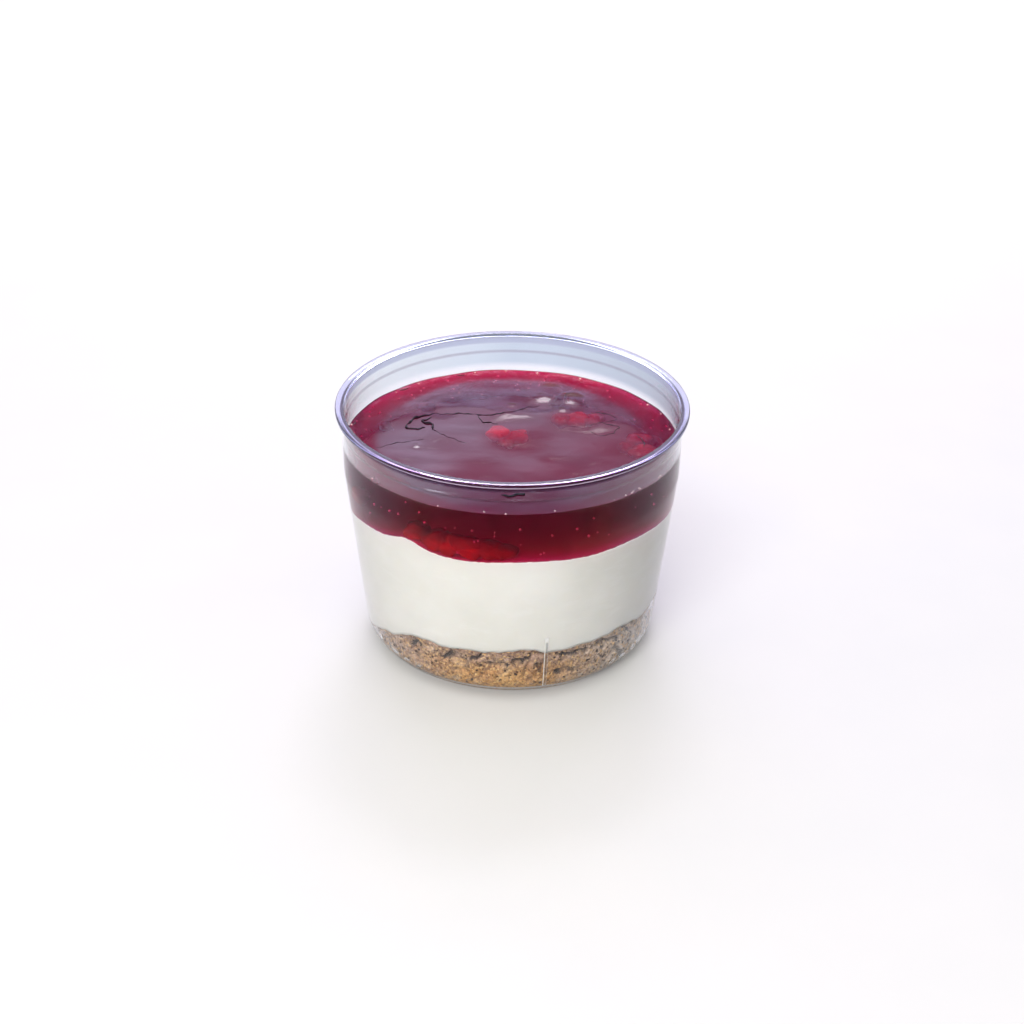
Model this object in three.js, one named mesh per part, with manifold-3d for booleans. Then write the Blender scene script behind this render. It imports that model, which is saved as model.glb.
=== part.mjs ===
import * as THREE from 'three';
import { mergeVertices } from 'three/addons/utils/BufferGeometryUtils.js';
import Module from 'manifold-3d';

// Cheesecake dessert cup: a clear thin-walled cup filled with biscuit crumb, cream and berry jelly.
// Millimetres, +Z up, the origin at the middle of the underside. Angles run from the front (-Y) to +X.

// The cup
const cupHeight = 61.8;
const rimRadius = 42.5;
const rimThickness = 0.95;
const rimRounding = 0.25;
const wallThickness = 0.8;
const floorThickness = 0.9;
const footRadius = 35.8; // where the tapered wall would meet the table
const wallTaper = 0.11; // growth of the radius per millimetre of height
const bandFoot = 46; // above this the wall stands nearly upright
const bandTaper = 0.012;
const ringHeight = 57; // a faint stacking ring in the upright band
const ringStep = 0.15;
const ringBevel = 0.35;
const cornerRadius = 6.8;
const cornerSteps = 6;
const cupSegments = 72;

// The moulded rib on the front of the wall
const ribAngle = THREE.MathUtils.degToRad(13.4);
const ribRadius = 0.45;
const ribFoot = 3.8;
const ribTop = 18.2;

// The filling
const fitGap = 0.3; // clearance between the filling and the cup, and between two layers
const biscuitLevel = 14.4;
const creamLevel = 40.5;
const jellyLevel = 52;
const jellySlope = 0.022; // the jelly stands a little higher at the front
const meniscusHeight = 0.5;
const meniscusWidth = 2.2;
const crumbRise = 0.75; // how far each layer's top leaves its level
const creamWave = 0.3;
const jellyWave = 0.12;
const crumbDepth = 0.5; // hollows between the crumbs at the biscuit's side
const edgeInside = 16; // the uneven edges fade out between these two radii
const edgeOutside = 34;
const layerSegments = 72;
const biscuitFaceSteps = 5; // rings of faces across each layer's top
const creamFaceSteps = 6;
const jellyFaceSteps = 11;

// Where the biscuit's edge sinks at the left, and the cream's ledge at the front left
const biscuitDip = { angle: -84, width: 24, height: -9 };
const creamRises = [
  { angle: -37, width: 5, height: 1.6 },
  { angle: -80, width: 14, height: -3.6 },
  { angle: 82, width: 14, height: -1.8 },
];

// Berries under the jelly's skin raise it, and it sinks between them
const jellyLumps = [
  { x: -1.7, y: 0.6, reach: 3.8, height: 0.95 },
  { x: 11, y: 13, reach: 6, height: 0.45 },
  { x: 25, y: 7, reach: 5, height: 0.4 },
  { x: 31, y: -3, reach: 4, height: 0.35 },
  { x: -24, y: 8, reach: 8, height: 0.35 },
  { x: 3, y: -22, reach: 7, height: 0.4 },
  { x: -17, y: -18, reach: 6, height: 0.3 },
  { x: 7.9, y: -12.3, reach: 2.6, height: -0.6 },
  { x: 21.5, y: 4.5, reach: 4, height: -0.4 },
  { x: 1.9, y: 9.5, reach: 4.5, height: -0.45 },
  { x: -8, y: 24, reach: 8, height: 0.3 },
];

const colours = {
  clearPlastic: 0xe4eaf6,
  biscuit: 0xa67c50,
  cream: 0xece8dc,
  jelly: 0x6b0a22,
};

const wasm = await Module();
wasm.setup();

// Outer radius of the cup's wall at a height, without the rounded foot
function wallRadius(z) {
  const bandRadius = footRadius + wallTaper * bandFoot;
  if (z < bandFoot) return footRadius + wallTaper * z;
  const radius = bandRadius + bandTaper * (z - bandFoot);
  return z > ringHeight ? radius + ringStep : radius;
}

// The rounded foot: an arc that runs from a level floor into the tapered wall
function footArc(inset) {
  const radius = cornerRadius - inset.wall;
  const slant = Math.hypot(1, wallTaper);
  const floor = inset.floor;
  const reach = footRadius - inset.wall * slant + wallTaper * (radius + floor) - radius * slant;
  return { radius, floor, reach, end: -Math.atan(wallTaper) };
}

function footPoints(inset) {
  const arc = footArc(inset);
  const points = [];
  for (let i = 0; i <= cornerSteps; i++) {
    const angle = THREE.MathUtils.lerp(-Math.PI / 2, arc.end, i / cornerSteps);
    const r = arc.reach + arc.radius * Math.cos(angle);
    const z = arc.floor + arc.radius + arc.radius * Math.sin(angle);
    points.push(new THREE.Vector2(r, z));
  }
  return points;
}

const insideFoot = { wall: wallThickness, floor: floorThickness };

// Radius of the cup's inner face at a height, rounded foot included
function innerRadius(z) {
  const arc = footArc(insideFoot);
  const wall = wallRadius(z) - wallThickness;
  const drop = arc.radius - (z - arc.floor);
  if (drop <= -arc.radius * Math.sin(arc.end)) return wall;
  return Math.min(wall, arc.reach + Math.sqrt(Math.max(0, arc.radius ** 2 - drop ** 2)));
}

// The wall's straight stretches above the foot, as heights and radii
function wallPoints(inset) {
  const ringFoot = ringHeight - ringBevel;
  const ringTop = ringHeight + ringBevel;
  const heights = [bandFoot - 3, bandFoot, bandFoot + 3, ringFoot, ringTop];
  return heights.map((z) => new THREE.Vector2(wallRadius(z) - inset, z));
}

function rimPoints() {
  const under = cupHeight - rimThickness;
  const wall = wallRadius(under);
  const inner = wall - wallThickness;
  return [
    new THREE.Vector2(wall, under - 2 * rimRounding),
    new THREE.Vector2(wall + rimRounding, under),
    new THREE.Vector2(rimRadius - rimRounding, under),
    new THREE.Vector2(rimRadius, under + rimRounding),
    new THREE.Vector2(rimRadius, cupHeight - rimRounding),
    new THREE.Vector2(rimRadius - rimRounding, cupHeight),
    new THREE.Vector2(inner + 2 * rimRounding, cupHeight),
    new THREE.Vector2(inner, cupHeight - 2 * rimRounding),
  ];
}

function cupShell() {
  const outside = [...footPoints({ wall: 0, floor: 0 }), ...wallPoints(0)];
  const inside = [...footPoints(insideFoot), ...wallPoints(wallThickness)];
  const profile = [
    new THREE.Vector2(0, 0),
    ...outside,
    ...rimPoints(),
    ...inside.reverse(),
    new THREE.Vector2(0, floorThickness),
  ];
  return new THREE.LatheGeometry(profile, cupSegments).rotateX(Math.PI / 2);
}

// A half-sunk rod with round ends that leans with the wall
function mouldRib() {
  const middle = (ribFoot + ribTop) / 2;
  const length = ribTop - ribFoot - 2 * ribRadius;
  const rib = new THREE.CapsuleGeometry(ribRadius, length, 4, 10);
  rib.rotateX(Math.PI / 2);
  rib.rotateX(Math.atan(wallTaper));
  rib.translate(0, -wallRadius(middle), middle);
  rib.rotateZ(ribAngle);
  return rib;
}

function toSolid(geometry) {
  geometry.deleteAttribute('normal');
  geometry.deleteAttribute('uv');
  const merged = mergeVertices(geometry);
  const vertProperties = Float32Array.from(merged.attributes.position.array);
  const triVerts = Uint32Array.from(merged.index.array);
  return new wasm.Manifold(new wasm.Mesh({ numProp: 3, vertProperties, triVerts }));
}

function toGeometry(solid) {
  const mesh = solid.getMesh();
  const geometry = new THREE.BufferGeometry();
  geometry.setAttribute('position', new THREE.BufferAttribute(mesh.vertProperties, 3));
  geometry.setIndex(new THREE.BufferAttribute(mesh.triVerts, 1));
  return geometry;
}

// A smooth bump of height 1 at its middle
function bell(distance, width) {
  return Math.exp(-0.5 * (distance / width) ** 2);
}

function turnBetween(degrees, other) {
  return Math.abs(THREE.MathUtils.euclideanModulo(degrees - other + 180, 360) - 180);
}

// Raises or lowers a layer's edge round one angle, fading towards the middle
function edgeRise(x, y, rise) {
  const degrees = THREE.MathUtils.radToDeg(Math.atan2(x, -y));
  const outwards = THREE.MathUtils.smoothstep(Math.hypot(x, y), edgeInside, edgeOutside);
  return rise.height * bell(turnBetween(degrees, rise.angle), rise.width) * outwards;
}

function biscuitTop(x, y) {
  const angle = Math.atan2(x, -y);
  const outwards = THREE.MathUtils.smoothstep(Math.hypot(x, y), edgeInside, edgeOutside);
  const crumbs = crumbRise * (0.6 * Math.sin(9 * angle + 1.2) + 0.4 * Math.sin(17 * angle));
  return biscuitLevel + crumbs * outwards + edgeRise(x, y, biscuitDip);
}

function creamTop(x, y) {
  const waves = creamWave * Math.sin(0.21 * x + 0.8) * Math.cos(0.17 * y);
  return creamRises.reduce((z, rise) => z + edgeRise(x, y, rise), creamLevel + waves);
}

function jellyTop(x, y) {
  const toWall = innerRadius(jellyLevel) - fitGap - Math.hypot(x, y);
  const meniscus = meniscusHeight * Math.exp(-Math.max(0, toWall) / meniscusWidth);
  const waves = jellyWave * Math.sin(0.31 * x + 0.5) * Math.sin(0.27 * y + 1.1);
  const level = jellyLevel - jellySlope * y + meniscus + waves;
  const rise = ({ x: cx, y: cy, reach, height }) => height * bell(Math.hypot(x - cx, y - cy), reach);
  return jellyLumps.reduce((z, lump) => z + rise(lump), level);
}

// Pressed crumbs: shallow hollows in the biscuit's side, between 0 and 1
function crumbHollow(angle, z) {
  const coarse = Math.sin(23 * angle + 1.1 * z) * Math.sin(1.3 * z - 9 * angle);
  const fine = Math.sin(41 * angle - 2.3 * z + 0.7);
  return THREE.MathUtils.clamp(0.5 + 0.35 * coarse + 0.15 * fine, 0, 1);
}

// A layer that fills the cup between two uneven faces: a lathe whose vertices are laid onto them
function layerGeometry({ floorAt, floorSteps, topAt, topSteps, sideSteps, sideDepth = 0 }) {
  const outline = [];
  for (let i = 0; i < floorSteps; i++) outline.push({ face: floorAt, share: i / floorSteps, height: 0 });
  for (let i = 0; i <= sideSteps; i++) outline.push({ face: null, share: 1, height: i / sideSteps });
  for (let i = topSteps - 1; i >= 0; i--) outline.push({ face: topAt, share: i / topSteps, height: 1 });

  const profile = outline.map(({ share, height }) => new THREE.Vector2(share, height));
  const geometry = new THREE.LatheGeometry(profile, layerSegments);
  const position = geometry.attributes.position;
  for (let i = 0; i < position.count; i++) {
    const { face, share, height } = outline[i % outline.length];
    const turn = Math.floor(i / outline.length) % layerSegments;
    const angle = (turn / layerSegments) * 2 * Math.PI;
    const point = face
      ? facePoint(face, share, angle)
      : sidePoint(floorAt, topAt, height, angle, sideDepth);
    position.setXYZ(i, point.x, point.y, point.z);
  }
  return geometry;
}

function polar(radius, angle, z) {
  return new THREE.Vector3(radius * Math.sin(angle), -radius * Math.cos(angle), z);
}

// Radius and height at which a face meets the inside of the wall
function faceEdge(face, angle) {
  let radius = innerRadius(creamLevel) - fitGap;
  let z = creamLevel;
  for (let i = 0; i < 4; i++) {
    const rim = polar(radius, angle, 0);
    z = face(rim.x, rim.y);
    radius = innerRadius(z) - fitGap;
  }
  return { radius, z };
}

function facePoint(face, share, angle) {
  const point = polar(share * faceEdge(face, angle).radius, angle, 0);
  point.z = face(point.x, point.y);
  return point;
}

function sidePoint(floorAt, topAt, height, angle, depth) {
  const low = faceEdge(floorAt, angle).z;
  const high = faceEdge(topAt, angle).z;
  const z = THREE.MathUtils.lerp(low, high, height);
  const hollow = height > 0 && height < 1 ? depth * crumbHollow(angle, z) : 0;
  return polar(innerRadius(z) - fitGap - hollow, angle, z);
}

function namedMesh(name, geometry, look) {
  const mesh = new THREE.Mesh(geometry, new THREE.MeshStandardMaterial(look));
  mesh.name = name;
  return mesh;
}

function cup() {
  const geometry = toGeometry(toSolid(cupShell()).add(toSolid(mouldRib())));
  return namedMesh('cup', geometry, {
    color: colours.clearPlastic,
    roughness: 0.06,
    metalness: 0,
    transparent: true,
    opacity: 0.3,
  });
}

function biscuitBase() {
  const geometry = layerGeometry({
    floorAt: () => floorThickness + fitGap,
    floorSteps: 1,
    topAt: biscuitTop,
    topSteps: biscuitFaceSteps,
    sideSteps: 8,
    sideDepth: crumbDepth,
  });
  return namedMesh('biscuit_base', geometry, { color: colours.biscuit, roughness: 0.9, metalness: 0 });
}

function cheesecakeCream() {
  const geometry = layerGeometry({
    floorAt: (x, y) => biscuitTop(x, y) + fitGap,
    floorSteps: biscuitFaceSteps,
    topAt: creamTop,
    topSteps: creamFaceSteps,
    sideSteps: 6,
  });
  return namedMesh('cheesecake_cream', geometry, { color: colours.cream, roughness: 0.5, metalness: 0 });
}

function berryJelly() {
  const geometry = layerGeometry({
    floorAt: (x, y) => creamTop(x, y) + fitGap,
    floorSteps: creamFaceSteps,
    topAt: jellyTop,
    topSteps: jellyFaceSteps,
    sideSteps: 4,
  });
  return namedMesh('berry_jelly', geometry, { color: colours.jelly, roughness: 0.12, metalness: 0 });
}

const dessertCup = new THREE.Group();
dessertCup.add(cup(), biscuitBase(), cheesecakeCream(), berryJelly());

export default dessertCup;
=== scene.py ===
import math

import bpy
import numpy as np
from mathutils import Matrix, Vector


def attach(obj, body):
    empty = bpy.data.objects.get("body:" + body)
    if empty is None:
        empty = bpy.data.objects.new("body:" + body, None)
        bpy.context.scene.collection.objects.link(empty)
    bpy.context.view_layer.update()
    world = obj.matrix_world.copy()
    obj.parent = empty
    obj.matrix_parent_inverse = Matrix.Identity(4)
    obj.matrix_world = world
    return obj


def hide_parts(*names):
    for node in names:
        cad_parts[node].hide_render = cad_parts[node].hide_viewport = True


# A clear dessert cup with layers of biscuit crumb, cheesecake cream and berry jelly.
# Metres. The front is -Y, and angles run from the front towards +X.
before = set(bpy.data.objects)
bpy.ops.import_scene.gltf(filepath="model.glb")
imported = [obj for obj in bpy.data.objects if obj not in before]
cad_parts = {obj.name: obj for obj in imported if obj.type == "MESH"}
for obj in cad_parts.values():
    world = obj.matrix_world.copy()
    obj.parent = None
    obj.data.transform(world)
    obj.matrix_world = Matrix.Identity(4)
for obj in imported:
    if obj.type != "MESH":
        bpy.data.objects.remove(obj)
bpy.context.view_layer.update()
mm = 0.001


class wire:
    # one value in a node tree, with its maths written as Python
    def __init__(self, tree, socket):
        self.tree = tree
        self.socket = socket

    def maths(self, operation, other=0.0):
        return self.tree.node("ShaderNodeMath", {"operation": operation}, {0: self, 1: other})

    def __add__(self, other):
        return self.maths("ADD", other)

    def __sub__(self, other):
        return self.maths("SUBTRACT", other)

    def __rsub__(self, other):
        return self.tree.node("ShaderNodeMath", {"operation": "SUBTRACT"}, {0: other, 1: self})

    def __mul__(self, other):
        return self.maths("MULTIPLY", other)

    def __truediv__(self, other):
        return self.maths("DIVIDE", other)

    def atLeast(self, other):
        return self.maths("MAXIMUM", other)


class nodeTree:
    def __init__(self, tree):
        self.tree = tree

    def node(self, kind, settings, sockets, output=0):
        made = self.tree.nodes.new(kind)
        for name, value in settings.items():
            if name == "stops":
                self.setStops(made.color_ramp, value)
            else:
                setattr(made, name, value)
        for name, value in sockets.items():
            if isinstance(value, wire):
                self.tree.links.new(value.socket, made.inputs[name])
            else:
                made.inputs[name].default_value = value
        return wire(self, made.outputs[output]) if len(made.outputs) else made

    def setStops(self, ramp, stops):
        while len(ramp.elements) < len(stops):
            ramp.elements.new(0.5)
        for element, (place, value) in zip(ramp.elements, stops):
            element.position = place
            element.color = value if isinstance(value, tuple) else (value, value, value, 1)

    def ramp(self, value, *stops):
        return self.node("ShaderNodeValToRGB", {"stops": stops}, {"Fac": value}, "Color")

    def blend(self, share, first, second):
        return self.node("ShaderNodeMix", {"data_type": "RGBA"}, {0: share, 6: first, 7: second}, 2)

    def part(self, vector, axis):
        return self.node("ShaderNodeSeparateXYZ", {}, {0: vector}, axis)

    def scaled(self, vector, amount):
        return self.node("ShaderNodeVectorMath", {"operation": "SCALE"}, {0: vector, "Scale": amount})

    def noise(self, place, scale, detail=3.0, roughness=0.5, distortion=0.0):
        sockets = {"Vector": place, "Scale": scale, "Detail": detail, "Roughness": roughness}
        return self.node("ShaderNodeTexNoise", {}, {**sockets, "Distortion": distortion}, "Fac")

    def cells(self, place, scale, output="Distance"):
        return self.node("ShaderNodeTexVoronoi", {}, {"Vector": place, "Scale": scale}, output)

    def bump(self, height, strength, distance):
        sockets = {"Height": height, "Strength": strength, "Distance": distance}
        return self.node("ShaderNodeBump", {}, sockets)

    def surface(self, sockets):
        return self.node("ShaderNodeBsdfPrincipled", {}, sockets, "BSDF")

    def absorption(self, colour, density):
        return self.node("ShaderNodeVolumeAbsorption", {}, {"Color": colour, "Density": density}, "Volume")

    def painted(self, name):
        # a value that the mesh carries at each point, read by a material
        return self.node("ShaderNodeAttribute", {"attribute_name": name}, {}, "Fac")

    def carried(self, name):
        # the same, read by Geometry Nodes
        return self.node("GeometryNodeInputNamedAttribute", {}, {"Name": name}, "Attribute")

    def ball(self, subdivisions):
        return self.node("GeometryNodeMeshIcoSphere", {}, {"Subdivisions": subdivisions}, "Mesh")

    def atPoints(self, points, instance, **turnAndScale):
        sockets = {"Points": points, "Instance": instance, **turnAndScale}
        return self.node("GeometryNodeInstanceOnPoints", {}, sockets)

    def randomValue(self, kind, seed, sockets, output):
        return self.node("FunctionNodeRandomValue", {"data_type": kind}, {**sockets, "Seed": seed}, output)

    def roughened(self, geometry, scale, amount):
        # every point moved a little by a noise of its place
        swell = self.node("ShaderNodeTexNoise", {}, {"Scale": scale, "Detail": 1.0}, "Color")
        centred = self.node("ShaderNodeVectorMath", {"operation": "SUBTRACT"}, {0: swell, 1: (0.5, 0.5, 0.5)})
        sockets = {"Geometry": geometry, "Offset": self.scaled(centred, amount)}
        return self.node("GeometryNodeSetPosition", {}, sockets)


def newMaterial(name):
    material = bpy.data.materials.new(name)
    material.use_nodes = True
    material.node_tree.nodes.clear()
    tree = nodeTree(material.node_tree)
    return material, tree, tree.node("ShaderNodeTexCoord", {}, {}, "Object")


def finishMaterial(material, tree, surface, **volume):
    tree.node("ShaderNodeOutputMaterial", {}, {"Surface": surface, **volume})
    return material


def shade(red, green, blue):
    # a colour given as it looks on screen, from 0 to 255
    screen = [part / 255 for part in (red, green, blue)]
    return tuple(v / 12.92 if v <= 0.04 else ((v + 0.055) / 1.055) ** 2.4 for v in screen) + (1,)


def newPiece(name, points, faces, material, edges=()):
    mesh = bpy.data.meshes.new(name)
    mesh.from_pydata(list(map(tuple, points)), edges, faces)
    mesh.materials.append(material)
    piece = bpy.data.objects.new(name, mesh)
    bpy.context.collection.objects.link(piece)
    shadeFaces(mesh, True)
    return piece


def shadeFaces(mesh, smooth):
    mesh.polygons.foreach_set("use_smooth", [smooth] * len(mesh.polygons))
    mesh.update()


def paintPoints(mesh, name, values):
    mesh.attributes.new(name, "FLOAT", "POINT").data.foreach_set("value", np.asarray(values, np.float32))


def pointsOf(mesh):
    spots = np.empty(3 * len(mesh.vertices))
    mesh.vertices.foreach_get("co", spots)
    return spots.reshape(-1, 3)


def movePoints(mesh, x, y, z):
    mesh.vertices.foreach_set("co", np.column_stack((x, y, z)).ravel())
    mesh.update()


def onCircle(radius, angle):
    # x and y at an angle from the front
    return radius * math.sin(angle), -radius * math.cos(angle)


def newGeometryTree(name, sizes):
    # a Geometry Nodes group with one named input for each size
    group = bpy.data.node_groups.new(name, "GeometryNodeTree")
    group.interface.new_socket(name="Geometry", in_out="OUTPUT", socket_type="NodeSocketGeometry")
    group.interface.new_socket(name="Geometry", in_out="INPUT", socket_type="NodeSocketGeometry")
    for label, value in sizes.items():
        kind = "NodeSocketInt" if isinstance(value, int) else "NodeSocketFloat"
        group.interface.new_socket(name=label, in_out="INPUT", socket_type=kind)
    tree = nodeTree(group)
    entry = group.nodes.new("NodeGroupInput")
    return tree, {socket.name: wire(tree, socket) for socket in entry.outputs if socket.name}


def endTree(tree, geometry, material):
    # every tree ends in real instances, dressed in the material
    real = tree.node("GeometryNodeRealizeInstances", {}, {"Geometry": geometry})
    dressed = tree.node("GeometryNodeSetMaterial", {}, {"Geometry": real, "Material": material})
    tree.node("NodeGroupOutput", {}, {"Geometry": dressed})


def runTree(piece, tree, sizes, smooth=True):
    # leaves a plain mesh, without its modifier
    modifier = piece.modifiers.new(tree.tree.name, "NODES")
    modifier.node_group = tree.tree
    for item in tree.tree.interface.items_tree:
        if item.in_out == "INPUT" and item.name in sizes:
            modifier[item.identifier] = sizes[item.name]
    shaped = piece.evaluated_get(bpy.context.evaluated_depsgraph_get())
    plain = bpy.data.meshes.new_from_object(shaped)
    piece.modifiers.remove(modifier)
    piece.data = plain
    shadeFaces(plain, smooth)
    return plain


def settle(piece, slot, *nodes):
    # every piece belongs to the one body that the cup is
    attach(piece, "root")
    if nodes:
        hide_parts(*nodes)
    print(piece.name, len(piece.data.polygons), "faces")


def smoothStep(x, low, high):
    t = np.clip((x - low) / (high - low), 0, 1)
    return t * t * (3 - 2 * t)


def bell(distance, width):
    return np.exp(-0.5 * (distance / width) ** 2)


def hills(x, y, z, size, seed):
    # smooth random swells of about this size, mostly between -1 and 1
    random = np.random.default_rng(seed)
    total = 0
    for _ in range(10):  # ten waves in random directions
        way = random.normal(size=3)
        pitch = 2 * math.pi / (size * random.uniform(0.75, 1.6)) / np.linalg.norm(way)
        total = total + np.sin(pitch * (x * way[0] + y * way[1] + z * way[2]) + random.uniform(0, 6.3))
    return total / 5


# The cup: one turned shell, with a moulded rib raised on its front
cup = {
    "height": 61.8 * mm,
    "rimRadius": 42.5 * mm,
    "rimThickness": 0.95 * mm,
    "rimRounding": 0.3 * mm,
    "wall": 0.8 * mm,
    "floor": 0.9 * mm,
    "footRadius": 35.8 * mm,  # where the tapered wall would meet the table
    "taper": 0.11,
    "bandFoot": 46 * mm,  # the wall stands nearly upright above this
    "bandTaper": 0.012,
    "ringHeight": 57 * mm,
    "ringStep": 0.12 * mm,
    "ringBevel": 0.55 * mm,
    "corner": 6.8 * mm,
    "wallRows": 25,
    "columns": 240,
    "crowding": 0.88,  # how far the columns gather towards the rib
    "ribAngle": 13.4,
    "ribWidth": 0.45 * mm,
    "ribHeight": 0.4 * mm,
    "ribFoot": 3.8 * mm,
    "ribTop": 18.2 * mm,
}


def wallRadius(z):
    # outer radius at a height, without the rounded foot
    z = np.asarray(z, float)
    band = cup["footRadius"] + cup["taper"] * cup["bandFoot"]
    upright = band + cup["bandTaper"] * (z - cup["bandFoot"])
    ring = smoothStep(z, cup["ringHeight"] - cup["ringBevel"], cup["ringHeight"] + cup["ringBevel"])
    tapered = cup["footRadius"] + cup["taper"] * z
    return np.where(z < cup["bandFoot"], tapered, upright + cup["ringStep"] * ring)


def footArc(inset, floor):
    # the arc from a level floor into the tapered wall: its radius and where it is centred
    radius = cup["corner"] - inset
    slant = math.hypot(1, cup["taper"])
    reach = cup["footRadius"] - inset * slant + cup["taper"] * (radius + floor) - radius * slant
    return radius, reach


def innerRadius(z):
    # radius of the inside at a height, with the rounded foot
    z = np.asarray(z, float)
    radius, reach = footArc(cup["wall"], cup["floor"])
    drop = np.clip(radius - (z - cup["floor"]), 0, radius)
    corner = reach + np.sqrt(radius ** 2 - drop ** 2)
    straight = wallRadius(z) - cup["wall"]
    curved = z < cup["floor"] + radius * (1 - math.sin(math.atan(cup["taper"])))
    return np.where(curved, np.minimum(corner, straight), straight)


def arcPoints(centre, radius, start, end, steps):
    turns = np.radians(np.linspace(start, end, steps + 1))
    return [(centre[0] + radius * math.cos(turn), centre[1] + radius * math.sin(turn)) for turn in turns]


def footProfile(inset, floor):
    radius, reach = footArc(inset, floor)
    lean = math.degrees(math.atan(cup["taper"]))
    return arcPoints((reach, floor + radius), radius, -90, -lean, 10)


def wallProfile(inset):
    # rows up the wall, closer together at the foot of the band and over the stacking ring
    bend, ring, bevel = cup["bandFoot"], cup["ringHeight"], cup["ringBevel"]
    heights = list(np.linspace(8 * mm, bend - 2 * mm, cup["wallRows"]))
    heights += list(np.linspace(bend - 1 * mm, bend + 1 * mm, 4)) + [bend + 5 * mm]
    heights += [ring - 1.5 * bevel] + list(np.linspace(ring - bevel, ring + bevel, 5)) + [ring + 1.5 * bevel]
    return [(float(wallRadius(z)) - inset, z) for z in heights]


def rimProfile():
    top, rounding = cup["height"], cup["rimRounding"]
    under = top - cup["rimThickness"]
    wall = float(wallRadius(under))
    inner = wall - cup["wall"]
    edge = cup["rimRadius"] - rounding
    softer = 1.5 * rounding
    return (
        arcPoints((wall + rounding, under - rounding), rounding, 180, 90, 4)
        + arcPoints((edge, under + rounding), rounding, -90, 0, 4)
        + arcPoints((edge, top - rounding), rounding, 0, 90, 4)
        + arcPoints((inner + softer, top - softer), softer, 90, 180, 4)
    )


def clearPlastic():
    # heights in the ramps are shares of the cup's height
    material, tree, place = newMaterial("clearPlastic")
    height = tree.part(place, "Z") / cup["height"]
    across = tree.part(place, "X") / cup["rimRadius"]
    toSide = across.maths("ABSOLUTE")
    toBack = tree.part(place, "Y") / cup["rimRadius"] * 0.5 + 0.5
    haze = tree.noise(place, 90, 3, 0.6)
    scuffs = tree.noise(place, 700, 2, 0.5)
    bead = tree.painted("bead")
    # the empty wall over the jelly is tinted cool grey as a painted reflection of the room, darker towards
    # the right as painted shade, with a moulded line round it drawn as a line of painted shade
    cool = tree.ramp(across * 0.5 + 0.5, (0.05, (0.92, 1, 1, 1)), (0.5, (0.63, 0.72, 0.79, 1)))
    empty = tree.ramp(height, (0.85, 0), (0.875, 1))
    tint = tree.blend(empty, (0.97, 0.98, 0.99, 1), cool)
    ring = tree.ramp(height, (0.914, 0), (0.9185, 0.7), (0.9225, 0.7), (0.927, 0))
    tint = tree.blend(ring, tint, (0.4, 0.36, 0.44, 1))
    # the rim is lilac with lines of painted shade and painted highlight at the front, the light ones
    # mirror-like, and grey at the sides and the back, darkened there as painted shade
    dark, light = (0.2, 0.14, 0.26, 1), (0.94, 0.76, 0.94, 1)
    lower = [(0.982, dark), (0.984, light), (0.99, light)]
    upper = [(0.9915, dark), (0.9975, dark), (0.9992, light)]
    pale = tree.ramp(toBack, (0.4, 0), (0.75, 0.55))
    lilac = tree.blend(pale, tree.ramp(height, *lower, *upper), (0.8, 0.82, 0.88, 1))
    onRim = tree.ramp(height, (0.957, 0), (0.963, 1))
    tint = tree.blend(onRim * (1 - pale), tint, lilac)
    sides = tree.ramp(toSide, (0.5, 0), (0.88, 0.85))
    away = sides.atLeast(tree.ramp(toBack, (0.45, 0), (0.72, 0.8)))
    tint = tree.blend(onRim * away, tint, (0.5, 0.55, 0.68, 1))
    edge = tree.ramp(height, (0.982, 0), (0.9835, 1), (0.9895, 1), (0.991, 0)) * (1 - away)
    lip = tree.ramp(height, (0.9982, 0), (0.9994, 0.35)) * (1 - sides)
    # a painted highlight: a thin white, mirror-like line round the foot, over a line of painted shade
    foot = tree.ramp(height, (0.0435, 0), (0.046, 1), (0.054, 1), (0.057, 0))
    tint = tree.blend(tree.ramp(height, (0.038, 0.85), (0.043, 0)), tint, (0.42, 0.4, 0.5, 1))
    tint = tree.blend(foot, tint, (0.98, 0.97, 0.98, 1))
    # painted highlights along both flanks of the rib, white and mirror-like, with painted shade between them
    flank = tree.ramp(bead, (0.05, 0), (0.15, 1), (0.6, 1), (0.75, 0))
    tint = tree.blend(flank, tint, (1, 1, 1, 1))
    tint = tree.blend(tree.ramp(bead, (0.8, 0), (0.95, 0.9)), tint, (0.3, 0.3, 0.33, 1))
    # the room shows in the foot, in the rib and in the sides of the empty wall
    coat = tree.ramp(height, (0.0, 0.5), (0.18, 0.45), (0.25, 0.03))
    veil = tree.ramp(height, (0.85, 0), (0.88, 1), (0.953, 1), (0.96, 0.1))
    coat = coat.atLeast(veil * tree.ramp(toSide, (0.2, 0), (0.6, 1))).atLeast(lip)
    plastic = tree.surface({
        "Base Color": tint,
        "Roughness": tree.ramp(haze, (0.35, 0.015), (0.75, 0.05)),
        "Metallic": flank.atLeast(edge).atLeast(foot) * 0.85,
        "IOR": 1.49,
        "Transmission Weight": 1.0,
        "Specular Tint": (0.1, 0.1, 0.12, 1),
        "Coat Weight": coat + tree.ramp(bead, (0.1, 0), (0.4, 1)),
        "Coat Roughness": 0.03,
        "Normal": tree.bump(haze * 0.7 + scuffs * 0.05, 0.12, 0.4 * mm),
    })
    return finishMaterial(material, tree, plastic, Volume=tree.absorption((0.1, 0.2, 0.45, 1), 95.0))


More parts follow.
